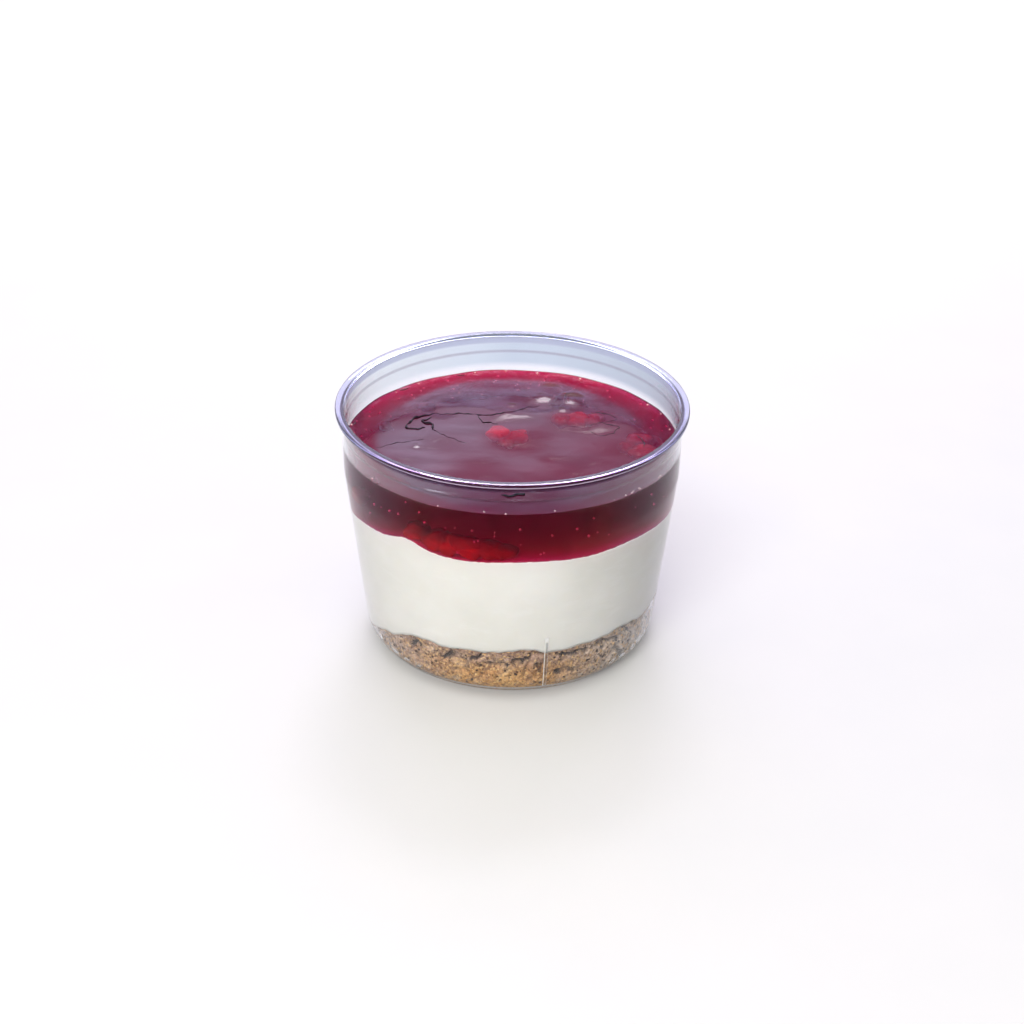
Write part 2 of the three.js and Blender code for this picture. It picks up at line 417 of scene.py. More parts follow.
def makeCup():
    outside = [(0, 0)] + footProfile(0, 0) + wallProfile(0)
    inside = [(0, cup["floor"])] + footProfile(cup["wall"], cup["floor"]) + wallProfile(cup["wall"])
    profile = outside + rimProfile() + inside[::-1]
    line = [(k, k + 1) for k in range(len(profile) - 1)]
    material = clearPlastic()
    piece = newPiece("clear_cup", [(radius, 0, z) for radius, z in profile], [], material, line)
    sizes = {
        "Columns": cup["columns"],
        "Rows": len(profile),
        "Outer Rows": len(outside),
        "Crowding": cup["crowding"],
        "Rib Angle": math.radians(cup["ribAngle"]),
        "Rib Width": cup["ribWidth"],
        "Rib Height": cup["ribHeight"],
        "Rib Foot": cup["ribFoot"] + cup["ribWidth"],
        "Rib Top": cup["ribTop"] - cup["ribWidth"],
    }
    # a flat grid is wrapped round: each row takes its reach and height from the outline
    tree, given = newGeometryTree("turnedCup", sizes)
    sheet = {"Vertices X": given["Columns"] + 1, "Vertices Y": given["Rows"]}
    grid = tree.node("GeometryNodeMeshGrid", {}, sheet, "Mesh")
    index = tree.node("GeometryNodeInputIndex", {}, {})
    column = ((index + 0.5) / given["Rows"]).maths("FLOOR")
    row = index - column * given["Rows"]
    spot = tree.node("GeometryNodeInputPosition", {}, {})
    sample = {"Geometry": given["Geometry"], "Value": spot, "Index": row}
    outline = tree.node("GeometryNodeSampleIndex", {"data_type": "FLOAT_VECTOR"}, sample, "Value")
    reach, height = tree.part(outline, "X"), tree.part(outline, "Z")
    even = column * (2 * math.pi) / given["Columns"]
    turn = even - given["Crowding"] * (even - given["Rib Angle"]).maths("SINE")
    # the rib is a half-round bead with rounded ends
    across = (turn - given["Rib Angle"]) * reach / given["Rib Width"]
    past = (given["Rib Foot"] - height).atLeast(height - given["Rib Top"]).atLeast(0.0)
    past = past / given["Rib Width"]
    bead = (1 - across * across - past * past).atLeast(0.0).maths("SQRT")
    bead = bead * row.maths("LESS_THAN", given["Outer Rows"])
    reach = reach + given["Rib Height"] * bead
    corner = {0: reach * turn.maths("SINE"), 1: reach * turn.maths("COSINE") * -1.0, 2: height}
    place = tree.node("ShaderNodeCombineXYZ", {}, corner)
    marks = {"Geometry": grid, "Name": "bead", "Value": bead}
    marked = tree.node("GeometryNodeStoreNamedAttribute", {}, marks)
    marked = tree.node("GeometryNodeSetPosition", {}, {"Geometry": marked, "Position": place})
    closed = tree.node("GeometryNodeMergeByDistance", {}, {"Geometry": marked, "Distance": 0.001 * mm})
    endTree(tree, closed, material)
    runTree(piece, tree, sizes)
    piece.visible_shadow = False  # lamps reach the filling through the thin clear wall
    settle(piece, "clear_plastic", "cup")


# The filling: three layers pressed to the wall, with uneven faces between them
layers = {
    "biscuitLevel": 14.4 * mm,
    "creamLevel": 40.5 * mm,
    "jellyLevel": 52 * mm,
    "jellySlope": 0.022,  # the jelly stands a little higher at the front
    "meniscusHeight": 0.5 * mm,
    "meniscusWidth": 2.2 * mm,
    "crumbRise": 0.75 * mm,
    "crumbRagged": 0.35 * mm,
    "creamWave": 0.3 * mm,
    "jellyWave": 0.12 * mm,
    "jellySmear": 0.05 * mm,
    "jellyWrinkle": 0.012 * mm,
    "edgeInside": 16 * mm,
    "edgeOutside": 34 * mm,
    "intoWall": 0.12 * mm,  # each layer reaches just into the plastic, so no air gap shows
    "intoLayer": 0.1 * mm,
}

# angle and spread in degrees, and rise in millimetres, of a layer's edge
biscuitDip = (-84, 24, -9)
creamRises = [(-37, 5, 1.6), (-80, 14, -3.6), (82, 14, -1.8)]

# x, y, reach and height in millimetres of what lifts or sinks the jelly's skin
jellyLumps = [
    (-1.9, 1.8, 4, 0.36),
    (11, 13, 6, 0.3),
    (25, 9, 5, 0.35),
    (31, -3, 4, 0.35),
    (-24, 8, 8, 0.35),
    (3, -22, 7, 0.4),
    (-17, -18, 6, 0.3),
    (8.6, -12.1, 2.4, -0.2),
    (22, 1.6, 3.6, -0.27),
    (-8, 24, 8, 0.3),
]

# the same for smaller rises whose near side catches the light
jellyGlints = [
    (-2.8, 13, 2.6, 0.46),
    (3, 13.4, 2.4, 0.44),
    (-0.6, 12.6, 0.8, 0.16),
    (-0.1, 18.3, 0.9, 0.28),
    (12.6, 15.9, 1.0, 0.32),
    (10, 28.6, 2.2, 0.66),
    (14.6, 22.4, 2.6, 0.8),
    (8, 23.3, 2, 0.55),
    (-23, -4.9, 0.8, 0.18),
]


def nearSpot(x, y, spotX, spotY, reach):
    # 1 at a spot given in millimetres, and less the farther away
    return bell(np.hypot(x - spotX * mm, y - spotY * mm), reach * mm)


def byTheWall(x, y):
    # 0 in the middle of the cup, 1 at its wall
    return smoothStep(np.hypot(x, y), layers["edgeInside"], layers["edgeOutside"])


def edgeRise(x, y, rise):
    angle, spread, height = rise
    away = np.abs((np.degrees(np.arctan2(x, -y)) - angle + 180) % 360 - 180)
    return height * mm * bell(away, spread) * byTheWall(x, y)


def biscuitTop(x, y):
    angle = np.arctan2(x, -y)
    crumbs = layers["crumbRise"] * (0.6 * np.sin(9 * angle + 1.2) + 0.4 * np.sin(17 * angle))
    ragged = layers["crumbRagged"] * hills(x, y, 0, 3.2 * mm, 5)
    return layers["biscuitLevel"] + (crumbs + ragged) * byTheWall(x, y) + edgeRise(x, y, biscuitDip)


def creamTop(x, y):
    waves = layers["creamWave"] * np.sin(0.21 * x / mm + 0.8) * np.cos(0.17 * y / mm)
    return layers["creamLevel"] + waves + sum(edgeRise(x, y, rise) for rise in creamRises)


def jellyTop(x, y):
    toWall = np.maximum(0, innerRadius(layers["jellyLevel"]) - np.hypot(x, y))
    meniscus = layers["meniscusHeight"] * np.exp(-toWall / layers["meniscusWidth"])
    waves = layers["jellyWave"] * np.sin(0.31 * x / mm + 0.5) * np.sin(0.27 * y / mm + 1.1)
    smears = layers["jellySmear"] * hills(x / 2.2, y, 0, 7 * mm, 3)
    wrinkles = layers["jellyWrinkle"] * hills(x / 1.8, y, 0, 2.6 * mm, 8)
    lumps = sum(height * mm * nearSpot(x, y, spotX, spotY, reach)
                for spotX, spotY, reach, height in jellyLumps + jellyGlints)
    return layers["jellyLevel"] - layers["jellySlope"] * y + meniscus + waves + smears + wrinkles + lumps


def faceEdge(face, angles):
    # where a layer's face meets the inside of the wall
    radius = np.full(len(angles), 38 * mm)  # a first guess
    for _ in range(6):
        z = face(radius * np.sin(angles), -radius * np.cos(angles))
        radius = innerRadius(z) + layers["intoWall"]
    return radius, z


def layerMesh(floorAt, topAt, rings, segments, sideDepth=None):
    # a closed layer: rings out across its floor, up its side and back in across its top
    angles = np.arange(segments) * 2 * math.pi / segments
    sine, cosine = np.sin(angles), -np.cos(angles)
    lowRadius, low = faceEdge(floorAt, angles)
    highRadius, high = faceEdge(topAt, angles)
    floorRings, sideRings, topRings = rings
    loops = []
    for share in np.linspace(0, 1, floorRings + 1)[1:]:
        x, y = share * lowRadius * sine, share * lowRadius * cosine
        loops.append((x, y, floorAt(x, y) + 0 * x))
    for share in np.linspace(0, 1, sideRings + 1)[1:-1]:
        z = low + (high - low) * share
        radius = innerRadius(z) + layers["intoWall"]
        if sideDepth:
            fade = math.sin(math.pi * share) ** 0.3  # no depth where the side meets top and floor
            radius = radius - sideDepth(radius * sine, radius * cosine, z) * fade
        loops.append((radius * sine, radius * cosine, z))
    for share in np.linspace(1, 0, topRings + 1)[:-1]:
        x, y = share * highRadius * sine, share * highRadius * cosine
        loops.append((x, y, topAt(x, y)))
    points = [spot for loop in loops for spot in zip(*loop)]
    middle = np.zeros(1)
    points += [(0, 0, float(np.ravel(at(middle, middle))[0])) for at in (floorAt, topAt)]
    faces = []
    for start in range(0, (len(loops) - 1) * segments, segments):
        above = start + segments
        for k in range(segments):
            following = (k + 1) % segments
            faces.append((start + k, start + following, above + following, above + k))
    lowest, highest, last = len(points) - 2, len(points) - 1, (len(loops) - 1) * segments
    for k in range(segments):
        following = (k + 1) % segments
        faces.append((lowest, following, k))
        faces.append((highest, last + k, last + following))
    return points, faces


# Biscuit: coarse pressed crumb with cracks darkened by painted shade, and loose grains against the plastic
biscuit = {
    "lumpWidth": 6.2 * mm,
    "lumpHeight": 4.6 * mm,
    "sideways": 0.35,  # how far a lump strays from its place in the row
    "upDown": 0.32,
    "crackWidth": 1.5 * mm,
    "crackDepth": 1.9 * mm,
    "longWidth": 1.25 * mm,
    "grainDepth": 0.28 * mm,
    "grainWidth": 1.3 * mm,
    "smoothFoot": (3.2 * mm, 5.5 * mm),  # smooth in the corner of the foot
    "crumbDepth": 2.4 * mm,  # loose grains lie this near to the wall
    "segments": 560,
    "rings": (6, 38, 16),  # across the floor, up the side and across the top
    "seed": 11,
}

crumbSizes = {
    "Density": 1.25e6,  # crumbs a square metre of the side
    "Smallest": 0.24 * mm,
    "Largest": 0.56 * mm,
    "Seed": 4,
}

# angle in degrees and height in millimetres along the long cracks at the front
longCracks = [
    [(-41.7, 10.2), (-38.5, 11.6), (-35.7, 12.1)],
    [(-32, 13.9), (-25.6, 14.5)],
    [(-22.4, 13.7), (-21.6, 12.2), (-23.2, 10.8)],
    [(-28.6, 10.6), (-27, 9.6), (-23.2, 10.7), (-20.5, 10.4),
     (-17.3, 10.2), (-12, 11.9), (-10.2, 13.5), (-9.4, 12.8)],
    [(-8.3, 10.7), (-4.7, 10.1), (-1, 10.2), (1.1, 10.9),
     (4.8, 11.5), (6.2, 12.8), (7.6, 13.7), (10.9, 13.5)],
    [(10.7, 10.4), (12.9, 9.5)],
    [(18.9, 12.7), (25.3, 12.1), (30.3, 12), (34.7, 12.5), (37.5, 12.7)],
    [(18.3, 7.1), (20.4, 7.5), (22.3, 7.2)],
    [(38.5, 11.9), (44.6, 12.2)],
]


def lineDistance(along, up, line):
    # how far points of the unrolled side lie from a line of short straights
    nearest = np.full(np.shape(along), 1.0)
    for (startAngle, startUp), (endAngle, endUp) in zip(line, line[1:]):
        startX, startY = math.radians(startAngle) * cup["footRadius"], startUp * mm
        stepX = math.radians(endAngle - startAngle) * cup["footRadius"]
        stepY = (endUp - startUp) * mm
        share = ((along - startX) * stepX + (up - startY) * stepY) / (stepX ** 2 + stepY ** 2)
        share = np.clip(share, 0, 1)
        nearest = np.minimum(nearest, np.hypot(along - startX - share * stepX, up - startY - share * stepY))
    return nearest


def lumpCentres():
    # middles of the pressed lumps, in uneven rows round the side
    random = np.random.default_rng(biscuit["seed"])
    rows = int(layers["biscuitLevel"] / biscuit["lumpHeight"]) + 2
    around = int(2 * math.pi * cup["footRadius"] / biscuit["lumpWidth"])
    centres = []
    for row in range(rows):
        for k in range(around):
            stray = random.uniform(-biscuit["sideways"], biscuit["sideways"])
            angle = (k + 0.5 * (row % 2) + stray) * 2 * math.pi / around
            z = (row + random.uniform(-biscuit["upDown"], biscuit["upDown"])) * biscuit["lumpHeight"]
            radius = float(innerRadius(min(max(z, 2 * mm), 16 * mm)))
            centres.append((*onCircle(radius, angle), z))
    return np.array(centres)


def cracks(x, y, z, centres):
    # 1 in the middle of a crack, 0 away from it: short cracks lie between two lumps
    bent = [c + 0.5 * mm * hills(x, y, z, 2.6 * mm, 20 + k) for k, c in enumerate((x, y, z))]
    away = np.sqrt(sum((bent[k][..., None] - centres[:, k]) ** 2 for k in range(3)))
    nearest = np.partition(away, 1, axis=-1)
    gap = nearest[..., 1] - nearest[..., 0]
    angle = np.arctan2(x, -y)
    sides = smoothStep(np.abs(angle), 0.6, 0.95)  # at the front the long cracks stand out more
    unevenly = smoothStep(hills(x, y, z, 9 * mm, 31), -0.25, 0.3) * (0.3 + 0.7 * sides)
    short = (1 - smoothStep(gap, 0.15 * biscuit["crackWidth"], biscuit["crackWidth"])) * unevenly
    along, up = angle * cup["footRadius"] + bent[0] - x, bent[2]
    away = np.minimum.reduce([lineDistance(along, up, line) for line in longCracks])
    width = biscuit["longWidth"] * (0.8 + 0.5 * hills(x, y, z, 3 * mm, 33))
    return np.maximum(short, 1 - smoothStep(away, 0.3 * width, width))


def biscuitFinish(name):
    material, tree, place = newMaterial(name)
    pits = tree.cells(place, 1150)
    patches = tree.noise(place, 190, 4, 0.6)
    tone = tree.painted("tone")
    speck = tree.part(tree.cells(place, 2300, "Color"), "X")
    # golden low down, paler and greyer where the cream has wetted it, and towards the left and right as a
    # painted reflection of the plastic
    height = tree.part(place, "Z") / layers["biscuitLevel"]
    across = tree.part(place, "X") / cup["footRadius"]
    dampAndReflectionShare = tree.ramp(height + patches * 0.3, (0.7, 0), (0.95, 0.85))
    dampAndReflectionShare = dampAndReflectionShare.atLeast(tree.ramp(across.maths("ABSOLUTE"), (0.3, 0), (0.75, 0.95)))
    golden = (shade(182, 132, 80), shade(206, 154, 94), shade(224, 178, 116))
    dampAndReflectionTones = (shade(160, 130, 118), shade(184, 154, 138), shade(204, 176, 156))
    dry, dampAndReflectionColour = (tree.ramp(patches, *zip((0.32, 0.5, 0.68), tones)) for tones in (golden, dampAndReflectionTones))
    base = tree.blend(dampAndReflectionShare, dry, dampAndReflectionColour)
    # paler on the right as a painted reflection of the plastic, with painted shade in the pits and in the
    # cracks, and golden specks
    base = tree.blend(tree.ramp(across, (0.25, 0), (0.75, 0.7)), base, shade(226, 208, 190))
    base = tree.blend(tree.ramp(pits, (0.35, 0), (0.75, 0.55)), base, shade(118, 84, 62))
    base = tree.blend(tree.ramp(speck, (0.06, 0.6), (0.15, 0)), base, shade(96, 62, 46))
    base = tree.blend(tree.ramp(speck, (0.82, 0), (0.94, 0.5)), base, shade(246, 208, 140))
    base = tree.blend(tree.ramp(tone, (0.05, 0.95), (0.42, 0)), base, shade(52, 40, 40))
    base = tree.blend(tree.ramp(tone, (0.6, 0), (1.0, 0.7)), base, shade(228, 184, 124))
    crumb = tree.surface({
        "Base Color": base,
        "Roughness": tree.ramp(pits, (0.0, 0.75), (0.6, 0.92)),
        "Normal": tree.bump(1 - pits, 0.6, 0.4 * mm),
    })
    return finishMaterial(material, tree, crumb)


def makeBiscuit():
    centres = lumpCentres()

    def sideDepth(x, y, z):
        grain = 0.5 + 0.5 * hills(x, y, z, biscuit["grainWidth"], 41)
        depth = biscuit["crackDepth"] * cracks(x, y, z, centres) + biscuit["grainDepth"] * grain
        return depth * smoothStep(z, *biscuit["smoothFoot"])

    floor = lambda x, y: cup["floor"] - layers["intoLayer"]
    points, faces = layerMesh(floor, biscuitTop, biscuit["rings"], biscuit["segments"], sideDepth)
    piece = newPiece("biscuit_layer", points, faces, biscuitFinish("pressedCrumb"))
    x, y, z = np.array(points).T
    outwards = smoothStep(np.hypot(x, y), 26 * mm, 30 * mm)
    # painted shade: the cracks near the wall are painted darker
    darker = 0.5 * cracks(x, y, z, centres) * outwards
    paintPoints(piece.data, "tone", 0.5 - darker + 0.15 * hills(x, y, z, 2 * mm, 7))
    settle(piece, "biscuit", "biscuit_base")
    makeCrumbs(piece, centres)


def makeCrumbs(core, centres):
    # loose grains over the side, thinner where it is cracked
    spots = pointsOf(core.data)
    x, y, z = spots.T
    near = np.hypot(x, y) > innerRadius(np.clip(z, 1 * mm, 20 * mm)) - biscuit["crumbDepth"]
    strip = [tuple(face.vertices) for face in core.data.polygons if all(near[k] for k in face.vertices)]
    material = biscuitFinish("looseCrumb")
    piece = newPiece("biscuit_crumbs", spots, strip, material)
    paintPoints(piece.data, "solid", (1 - cracks(x, y, z, centres)) ** 4)
    tree, given = newGeometryTree("scatteredCrumbs", crumbSizes)
    seed = given["Seed"]
    spread = {"Mesh": given["Geometry"], "Density": given["Density"] * tree.carried("solid"), "Seed": seed}
    scatter = tree.node("GeometryNodeDistributePointsOnFaces", {}, spread, "Points")
    size = tree.randomValue("FLOAT", seed, {2: given["Smallest"], 3: given["Largest"]}, 1)
    turns = tree.randomValue("FLOAT_VECTOR", seed + 1, {1: (6.28, 6.28, 6.28)}, 0)
    shape = tree.randomValue("FLOAT_VECTOR", seed + 2, {0: (0.7, 0.7, 0.55), 1: (1.3, 1.2, 0.9)}, 0)
    placed = tree.atPoints(scatter, tree.ball(1), Rotation=turns, Scale=tree.scaled(shape, size))
    marks = {"Geometry": placed, "Name": "tone", "Value": tree.randomValue("FLOAT", seed + 3, {}, 1)}
    toned = tree.node("GeometryNodeStoreNamedAttribute", {"domain": "INSTANCE"}, marks)
    endTree(tree, toned, material)
    grains = runTree(piece, tree, crumbSizes, False)
    pressToWall(grains)
    settle(piece, "biscuit")


def pressToWall(mesh):
    # what reaches past the inside of the cup is flattened against it
    x, y, z = pointsOf(mesh).T
    z = np.clip(z, cup["floor"] + 0.05 * mm, None)
    limit = innerRadius(z) + 0.8 * layers["intoWall"]
    shrink = np.minimum(1, limit / np.hypot(x, y))
    movePoints(mesh, x * shrink, y * shrink, z)


# Cream: smooth and satin, with faint level streaks
cream = {
    "rings": (24, 40, 30),
    "segments": 280,
}


def creamFinish():
    material, tree, place = newMaterial("cheesecakeCream")
    broad = tree.noise(place, 45, 3, 0.55)
    fine = tree.noise(place, 420, 4, 0.6)
    flat = tree.node("ShaderNodeMapping", {}, {"Vector": place, "Scale": (1, 1, 3.5)})
    streaks = tree.noise(flat, 120, 3, 0.6, 0.6)
    base = tree.blend(tree.ramp(broad, (0.3, 0), (0.7, 1)), shade(235, 232, 222), shade(247, 244, 236))
    base = tree.blend(tree.ramp(streaks, (0.55, 0), (0.8, 0.4)), base, shade(251, 249, 244))
    finish = tree.surface({
        "Base Color": base,
        "Roughness": tree.ramp(fine, (0.3, 0.42), (0.7, 0.58)),
        "Subsurface Weight": 0.25,
        "Subsurface Radius": (1.0, 0.8, 0.6),
        "Subsurface Scale": 2 * mm,
        "Normal": tree.bump(fine * 0.4 + streaks, 0.25, 0.4 * mm),
    })
    return finishMaterial(material, tree, finish)


def makeCream():
    floor = lambda x, y: biscuitTop(x, y) - layers["intoLayer"]
    points, faces = layerMesh(floor, creamTop, cream["rings"], cream["segments"])
    piece = newPiece("cheesecake_layer", points, faces, creamFinish())
    settle(piece, "cream", "cheesecake_cream")


# Jelly: deep crimson, with whole berries and a few bubbles sunk in it and a wrinkled skin
jelly = {
    "rings": (20, 12, 90),
    "segments": 280,
    "dullEdge": (2.2 * mm, 5.5 * mm),  # the skin grows glossy over this distance from the wall
    "dullSides": 3.5 * mm,  # which starts this much farther in at the left and right
    "dullBack": 1.6 * mm,  # and this much farther in at the back
    "gloss": 0.64,
    "lessRight": 0.18,
    "lessFront": 0.12,
}

# x, y, reach in millimetres and strength of the places where the skin is redder and mirrors less
jellyClear = [
    (-1.9, 0.6, 3.6, 0.95),
    (1.5, -3, 4.4, 0.8),
    (6.5, 3, 3.6, 0.6),
    (15.3, 10.5, 3.2, 0.85),
    (11.5, 11, 2.6, 0.6),
    (22, 12.2, 3.2, 0.6),
    (31.5, 1, 3.6, 0.8),
    (32, -7, 4, 0.75),
    (26, -4, 5, 0.4),
    (17, -6, 7, 0.5),
    (12, -17, 4.6, 0.65),
    (-8, -15.6, 5, 0.5),
    (8.6, -12.1, 1.9, 0.6),
    (-28, 12, 5, 0.4),
    (24, -17, 7, 0.45),
    (2, -30, 10, 0.85),
]

# x, y, z, half width in millimetres and how bright
berries = [
    (-3.2, 4.8, 49.8, 3.3, 0.95),
    (0.8, 4.4, 49.4, 3, 0.9),
    (-1.4, 3, 48.6, 2.8, 0.8),
    (13, 15, 48.8, 3, 0.7),
    (16.4, 14.4, 49, 3.2, 0.85),
    (20.4, 15.4, 48.6, 2.8, 0.7),
    (31, 4.6, 48.6, 3, 0.75),
    (32, -2, 48.4, 3.2, 0.78),
    (28.4, 1.4, 47.8, 2.6, 0.6),
    (-21.4, -29.4, 43.4, 3.2, 0.75),
    (-17, -32, 42.4, 3.6, 0.9),
    (-13.2, -33.6, 42, 3.8, 1.0),
    (-9, -34.6, 41.9, 4, 1.0),
    (-5, -35.4, 41.8, 3.6, 1.0),
    (-1.4, -35.8, 41.6, 2.8, 0.8),
    (-34.4, -12, 43, 3, 0.7),
    (35, 10, 43, 3, 0.7),
    (12, 35.2, 42.2, 2.2, 0.8),
    (-22, 29.6, 42.4, 2.4, 0.8),
    (-32, 18, 42.4, 2.4, 0.8),
]

# x, y of wrinkled skin lines in millimetres, each with its thickness
skinLines = [
    (0.38, [(-19.3, 13.3), (-21.7, 11.6), (-24.4, 9.4), (-26.1, 6.2), (-25.7, 4.4), (-23, 3.9),
            (-20.8, 5)]),
    (0.4, [(-20, 10.5), (-22.4, 8.2), (-21.2, 7.1), (-19.5, 6.3), (-19.7, 3.4), (-18.6, 2.8)]),
    (0.2, [(-19.3, 13.3), (-15.5, 13.1), (-11.8, 13.5), (-8.5, 12.6), (-5.5, 12), (-0.6, 13.5),
           (3.1, 16.7), (6.9, 18.6)]),
    (0.17, [(-8.5, 12.4), (-8, 9.7), (-7.2, 8.3), (-3.5, 7.5)]),
    (0.11, [(-18.6, 2.8), (-16.3, 0.2), (-13.8, -1.4), (-11.3, -3.4)]),
    (0.09, [(-32.8, -6.6), (-28.1, -3.9), (-24.6, -2.5), (-21, -1.6)]),
    (0.1, [(18.6, 4.9), (19.2, 7.6), (21.7, 8.8), (26.5, 6.2), (24.4, 2.9), (21.4, 1.7), (18.6, 4.9)]),
    (0.1, [(18.1, 14.3), (21.9, 15), (24.8, 13.4), (25.9, 10.6), (22.9, 8.9)]),
    (0.16, [(30.4, 2.5), (31.3, -0.2), (32.1, -2.8), (31.5, -4.9)]),
    (0.5, [(-2.2, -29.9), (0.2, -30.2), (1.6, -29.3), (3.4, -29.6)]),
    (0.24, [(-28.8, 26.6), (-27.6, 28), (-26.8, 28.2)]),
    (0.2, [(-14.6, 36.4), (-13.2, 37), (-12.4, 37)]),
    (0.2, [(-38.9, 5.2), (-38.6, 7.2)]),
    (0.2, [(38.7, 8.6), (39, 6.6)]),
    (0.16, [(-35.6, -6.8), (-34, -8.2), (-33.4, -9.6)]),
]


def jellyFinish():
    material, tree, place = newMaterial("berryJelly")
    broad = tree.noise(place, 150, 4, 0.55, 0.8)
    fine = tree.noise(place, 520, 3, 0.5, 0.3)
    sheen = tree.painted("sheen")
    # crimson down the side, darker than on the top as painted shade, and mauve at its left and right as a
    # painted reflection of the plastic
    patches = tree.ramp(broad, (0.35, 0), (0.65, 1))
    side = tree.blend(patches, (0.44, 0.005, 0.04, 1), (0.32, 0.003, 0.03, 1))
    toSide = (tree.part(place, "X") / cup["rimRadius"]).maths("ABSOLUTE")
    side = tree.blend(tree.ramp(toSide, (0.5, 0), (0.9, 1)), side, (0.34, 0.03, 0.2, 1))
    base = tree.blend(tree.painted("skin"), side, (0.9, 0.018, 0.19, 1))
    # painted shade: darker where the skin mirrors, over the deep middle, so it stays lighter crimson by the
    # wall and in the clear places
    base = tree.blend(tree.ramp(sheen, (0.0, 0), (0.62, 0.9)), base, (0.3, 0.01, 0.1, 1))
    body = tree.surface({
        "Base Color": base,
        "Roughness": tree.ramp(fine, (0.3, 0.03), (0.7, 0.09)),
        "IOR": 1.1,
        "Transmission Weight": 0.85,
        "Specular Tint": (0, 0, 0, 1),
        "Coat Weight": sheen,
        "Coat Roughness": 0.09,
        "Coat IOR": 1.45,
        "Normal": tree.bump(broad + fine * 0.15, 0.3, 1.0 * mm),
    })
    return finishMaterial(material, tree, body, Volume=tree.absorption((0.865, 0.0, 0.5, 1), 1000.0))


def onSkin(x, y, z):
    # 1 on the jelly's top, 0 down its side and on its floor
    inside = np.hypot(x, y) < innerRadius(z) - 0.05 * mm
    return (inside & (z > creamTop(x, y) + 5 * mm)).astype(float)


def skinSheen(x, y, z):
    # how much the skin mirrors, which also sets where the jelly is painted darker: not at all down the side,
    # and less by the wall and over the berries
    toWall = innerRadius(layers["jellyLevel"]) - np.hypot(x, y)
    toWall = toWall - jelly["dullSides"] * smoothStep(np.abs(x), 12 * mm, 36 * mm)
    toWall = toWall - jelly["dullBack"] * smoothStep(y, 8 * mm, 28 * mm)
    sheen = onSkin(x, y, z) * smoothStep(toWall, *jelly["dullEdge"])
    right, front = smoothStep(x, 0, 25 * mm), smoothStep(-y, 2 * mm, 20 * mm)
    sheen = sheen * (jelly["gloss"] - jelly["lessRight"] * right - jelly["lessFront"] * front)
    for spotX, spotY, reach, strength in jellyClear:
        sheen = sheen * (1 - strength * nearSpot(x, y, spotX, spotY, reach))
    smears = 0.78 + 0.22 * hills(x / 2.6, y, 0, 6 * mm, 14)
    return np.clip(sheen * smears, 0, 1)


def makeJelly():
    floor = lambda x, y: creamTop(x, y) - layers["intoLayer"]
    points, faces = layerMesh(floor, jellyTop, jelly["rings"], jelly["segments"])
    piece = newPiece("jelly_layer", points, faces, jellyFinish())
    spots = np.array(points).T
    paintPoints(piece.data, "skin", onSkin(*spots))
    paintPoints(piece.data, "sheen", skinSheen(*spots))
    piece.visible_shadow = False  # lamps reach the cream and the berries too
    settle(piece, "jelly", "berry_jelly")


def berryFinish():
    material, tree, place = newMaterial("sunkBerry")
    skin = tree.noise(place, 380, 3, 0.6)
    # painted light: lighter on the side towards the skin or the wall, darker on the far side
    paintedLight = tree.painted("tone") * tree.ramp(tree.painted("near") * 0.5 + 0.5, (0.3, 0.35), (0.9, 1))
    tones = (shade(30, 6, 20), shade(96, 8, 28), shade(206, 12, 44), shade(226, 24, 36))
    base = tree.ramp(paintedLight, *zip((0.0, 0.35, 0.75, 1.0), tones))
    berry = tree.surface({
        "Base Color": tree.blend(tree.ramp(skin, (0.35, 0), (0.7, 0.6)), base, shade(60, 6, 20)),
        "Specular IOR Level": 0.0,
        "Roughness": tree.ramp(skin, (0.3, 0.5), (0.7, 0.7)),
        "Normal": tree.bump(skin, 0.4, 0.5 * mm),
    })
    return finishMaterial(material, tree, berry)


berrySizes = {"Squash": 0.6, "Unevenness": 1.6 * mm, "Swell": 300.0}

# the clear jelly left round every berry
berryRoom = {
    "underSkin": 0.22 * mm,
    "overCream": 0.15 * mm,
    "insideWall": 0.25 * mm,
    "topBerries": 46 * mm,  # above this they lie by the skin, below it by the wall
}


def makeBerries():
    # one uneven ball for each berry, squashed a little
    material = berryFinish()
    spots = [(x * mm, y * mm, z * mm) for x, y, z, size, tone in berries]
    piece = newPiece("sunk_berries", spots, [], material)
    paintPoints(piece.data, "size", [size * mm for x, y, z, size, tone in berries])
    paintPoints(piece.data, "tone", [tone for x, y, z, size, tone in berries])
    tree, given = newGeometryTree("sunkBerries", berrySizes)
    size = tree.carried("size")
    scale = tree.node("ShaderNodeCombineXYZ", {}, {0: size, 1: size, 2: size * given["Squash"]})
    placed = tree.atPoints(given["Geometry"], tree.ball(4), Scale=scale)
    real = tree.node("GeometryNodeRealizeInstances", {}, {"Geometry": placed})
    endTree(tree, tree.roughened(real, given["Swell"], given["Unevenness"] * 2.0), material)
    balls = runTree(piece, tree, berrySizes)
    paintBerryLight(balls)
    keepUnderSkin(balls)
    settle(piece, "jelly")


def paintBerryLight(mesh):
    # painted light: each berry is lighter where it comes near the skin or the wall, and darker away from it
    balls = pointsOf(mesh).reshape(len(berries), -1, 3)
    near = []
    for ball, (x, y, z, size, tone) in zip(balls, berries):
        outwards = (0, 0, 1) if z * mm > berryRoom["topBerries"] else np.array((x, y, 0)) / math.hypot(x, y)
        near.append((ball - np.array((x, y, z)) * mm) @ outwards / (size * mm))
    paintPoints(mesh, "near", np.concatenate(near))


